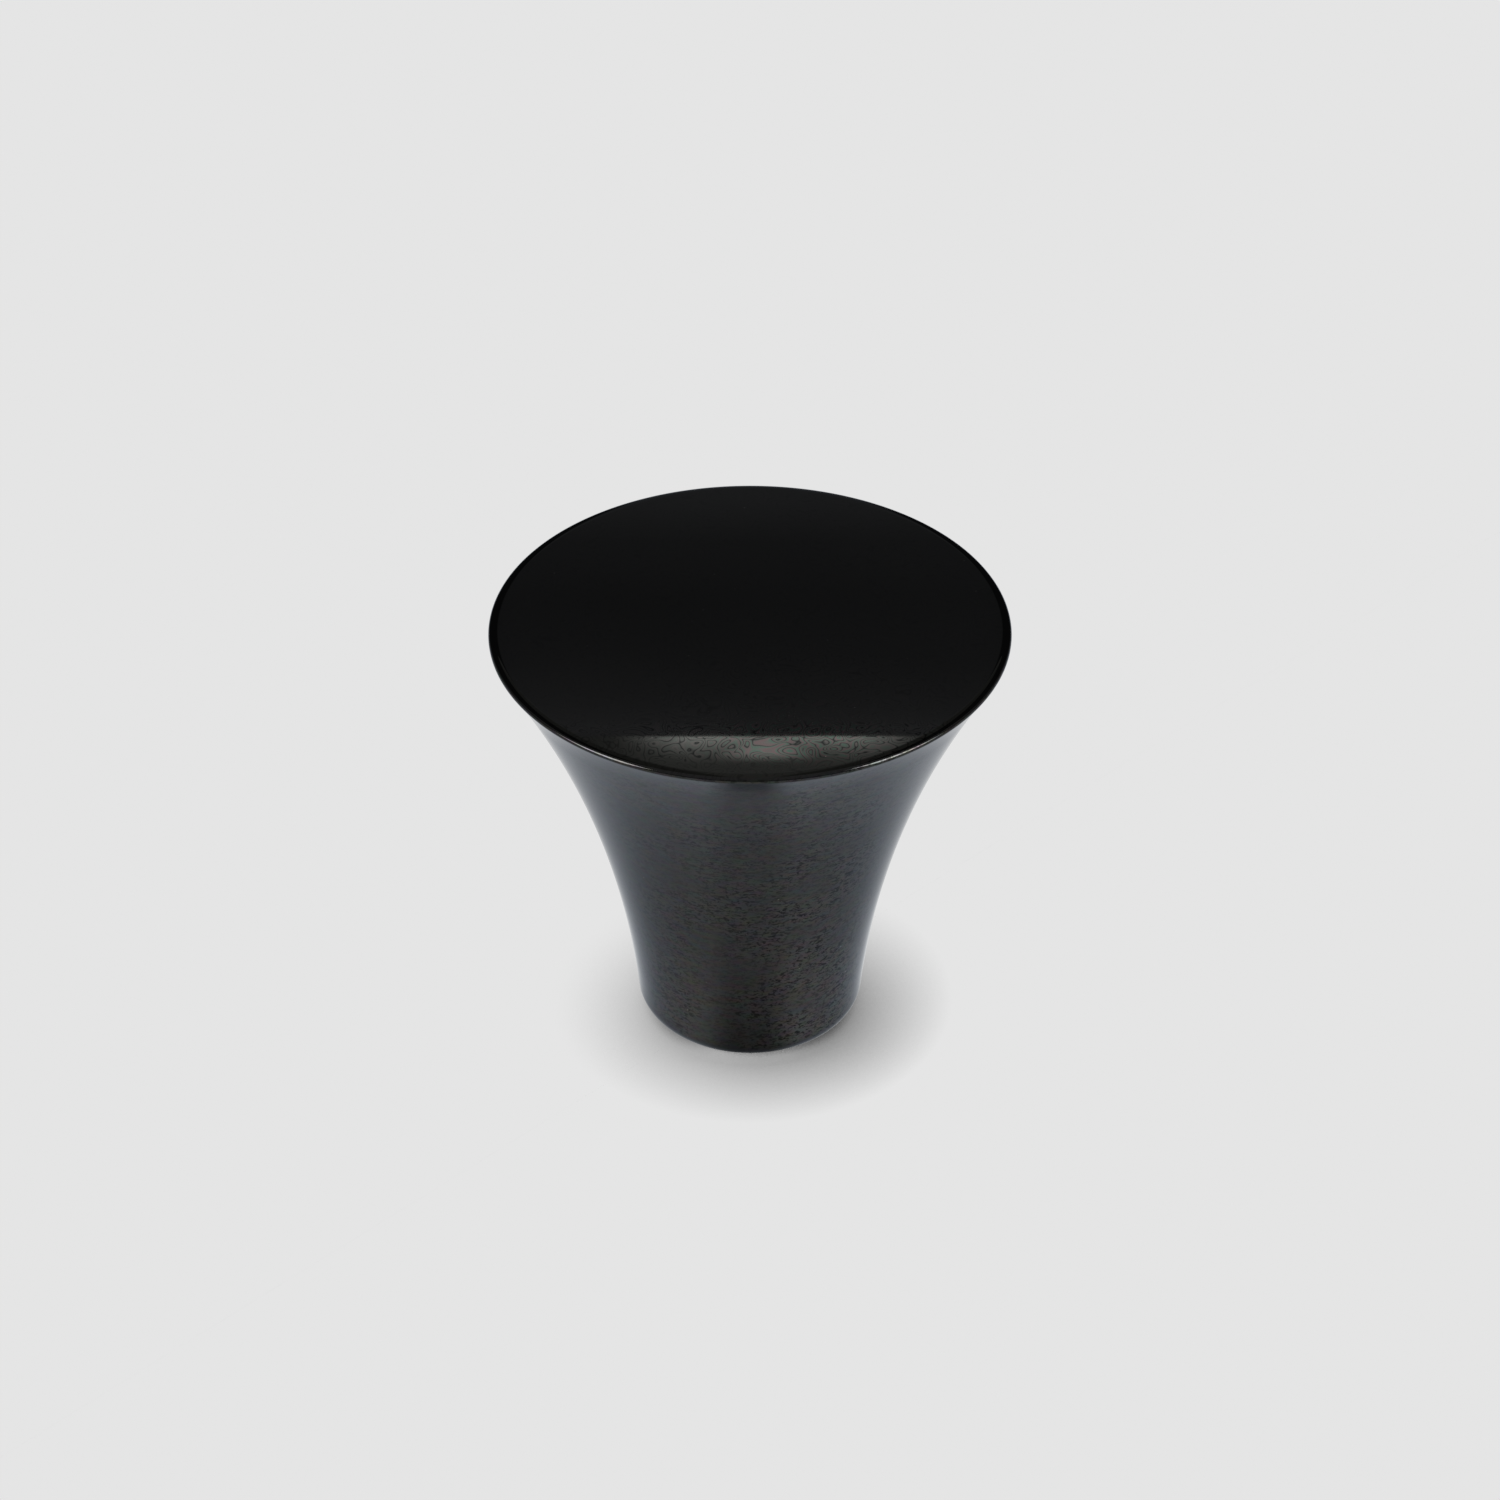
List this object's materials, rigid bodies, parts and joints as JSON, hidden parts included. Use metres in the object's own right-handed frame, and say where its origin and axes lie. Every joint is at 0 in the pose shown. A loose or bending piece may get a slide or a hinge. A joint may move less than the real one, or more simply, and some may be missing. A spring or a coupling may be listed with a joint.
{
  "type": "cabinet knob",
  "caption": "Round solid cabinet knob: a slim foot flares in one concave sweep to a wide flat face with a narrow softened rim, and a blind threaded hole in the foot takes the fixing screw.",
  "frame": {"origin": "centre of the flat foot, in the plane that meets the cabinet's front", "axes": "+Z along the knob's axis, from the foot out to the flat face; X and Y are free, because the knob is round"},
  "size_m": [0.028, 0.028, 0.025],
  "materials": {
    "dark_plating": "polished"
  },
  "bodies": {
    "root": {"knob": "dark_plating"}
  },
  "joints": []
}
